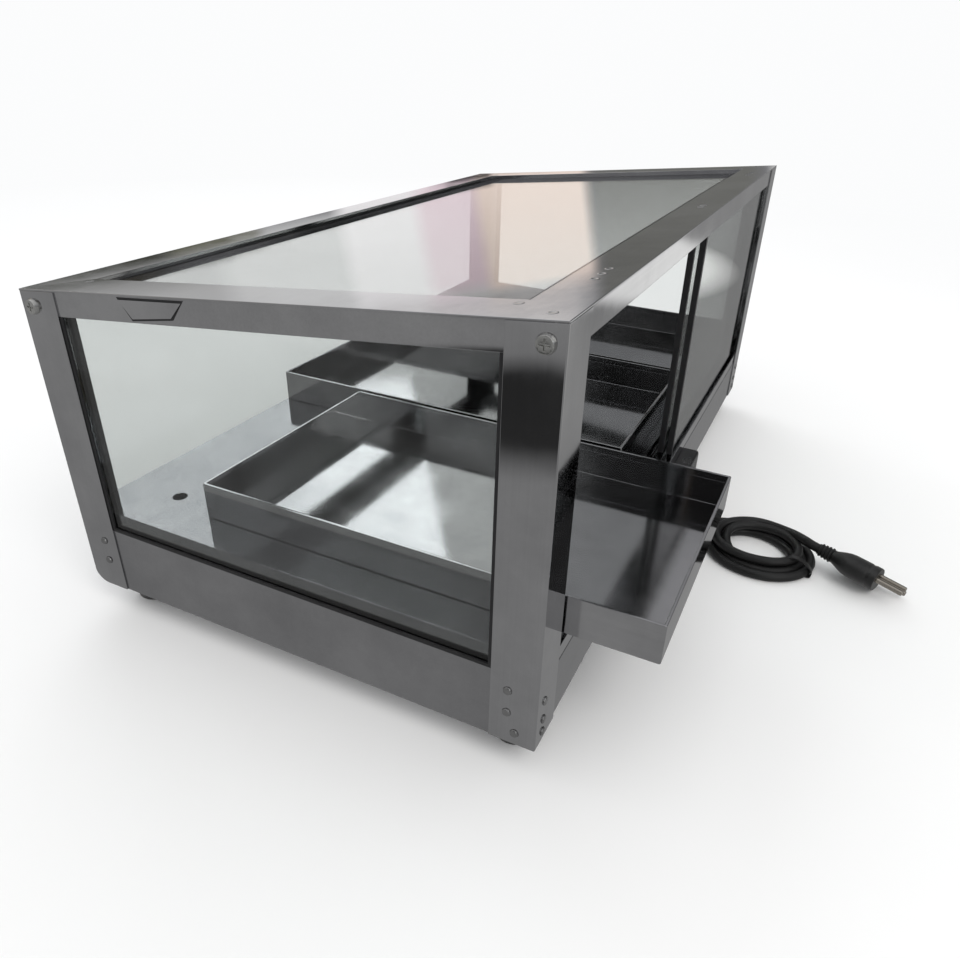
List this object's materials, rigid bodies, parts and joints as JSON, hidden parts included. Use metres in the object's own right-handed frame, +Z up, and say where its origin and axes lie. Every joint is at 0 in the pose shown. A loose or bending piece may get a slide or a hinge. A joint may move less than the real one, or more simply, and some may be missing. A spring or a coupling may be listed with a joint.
{
  "type": "hot food display case",
  "caption": "Countertop heated glass display case with sliding glass doors, lift-out trays, rubber feet, a thermostat knob and a coiled power cord.",
  "frame": {"origin": "on the ground under the middle of the case, midway between its ends and its long sides", "axes": "+X along the long side, to the right as seen by the operator; -Y towards the operator, where the doors and the knob are; +Y towards the customer; +Z up"},
  "size_m": [0.5744, 0.5016, 0.2515],
  "materials": {
    "polished_steel": "mirror polished stainless sheet",
    "satin_steel": "satin stainless sheet",
    "zinc_steel": "bright zinc plated",
    "clear_glass": "clear float glass",
    "black_rubber": "satin moulded rubber",
    "black_seal": "satin sealing strip",
    "black_plastic": "half gloss moulded plastic",
    "cord_sheath": "soft PVC sheath",
    "orange_label": "blank printed film",
    "brass_pins": "nickelled brass",
    "white_plastic": "moulded nylon",
    "element_sheath": "heat coloured steel sheath",
    "red_wire": "silicone insulation",
    "copper_tube": "drawn copper"
  },
  "bodies": {
    "case": {"base_shell": "satin_steel", "bottom_plate": "satin_steel", "foot_operator_left": "black_rubber", "foot_customer_left": "black_rubber", "foot_operator_right": "black_rubber", "foot_customer_right": "black_rubber", "foot_screws": "zinc_steel", "post_rivets": "satin_steel", "corner_screws": "zinc_steel", "post_operator_left": "polished_steel", "post_operator_right": "polished_steel", "post_customer_left": "polished_steel", "post_customer_right": "polished_steel", "top_frame": "polished_steel", "top_glass_seal": "black_seal", "top_glass": "clear_glass", "end_glass_left": "clear_glass", "end_glass_right": "clear_glass", "customer_glass": "clear_glass", "glass_seals": "black_seal", "deck_plate": "polished_steel", "lower_door_track": "polished_steel", "upper_door_track": "polished_steel", "strain_relief": "black_rubber", "control_housing": "black_plastic", "thermostat_body": "white_plastic", "thermostat_bulb": "copper_tube", "heating_element": "element_sheath", "element_clips": "zinc_steel", "terminal_block": "white_plastic", "internal_wires": "red_wire", "blank_label": "orange_label", "power_cord": "cord_sheath", "cord_coil": "cord_sheath", "cord_tie": "cord_sheath", "plug_body": "cord_sheath", "plug_pins": "brass_pins"},
    "left_tray": {"tray_left": "polished_steel"},
    "middle_tray": {"tray_middle": "polished_steel"},
    "right_tray": {"tray_right": "polished_steel"},
    "outer_door": {"door_outer_glass": "clear_glass", "door_outer_edge": "black_seal"},
    "inner_door": {"door_inner_glass": "clear_glass", "door_inner_edge": "black_seal"},
    "knob": {"thermostat_knob": "black_plastic", "thermostat_shaft": "zinc_steel"}
  },
  "joints": [
    {"name": "left_tray_slide", "type": "slide", "parent": "case", "child": "left_tray", "axis": [0, -1, 0], "range_m": [-0.075, 0.075]},
    {"name": "middle_tray_slide", "type": "slide", "parent": "case", "child": "middle_tray", "axis": [0, -1, 0], "range_m": [-0.0008, 0.0095]},
    {"name": "right_tray_slide", "type": "slide", "parent": "case", "child": "right_tray", "axis": [0, -1, 0], "range_m": [-0.0008, 0.0095]},
    {"name": "outer_door_slide", "type": "slide", "parent": "case", "child": "outer_door", "axis": [-1, 0, 0], "range_m": [0, 0.074]},
    {"name": "inner_door_slide", "type": "slide", "parent": "case", "child": "inner_door", "axis": [-1, 0, 0], "range_m": [0, 0.074]},
    {"name": "thermostat_turn", "type": "hinge", "parent": "case", "child": "knob", "pos_m": [-0.011, -0.172, 0.04], "axis": [0, -1, 0], "range_deg": [0, 270]}
  ]
}
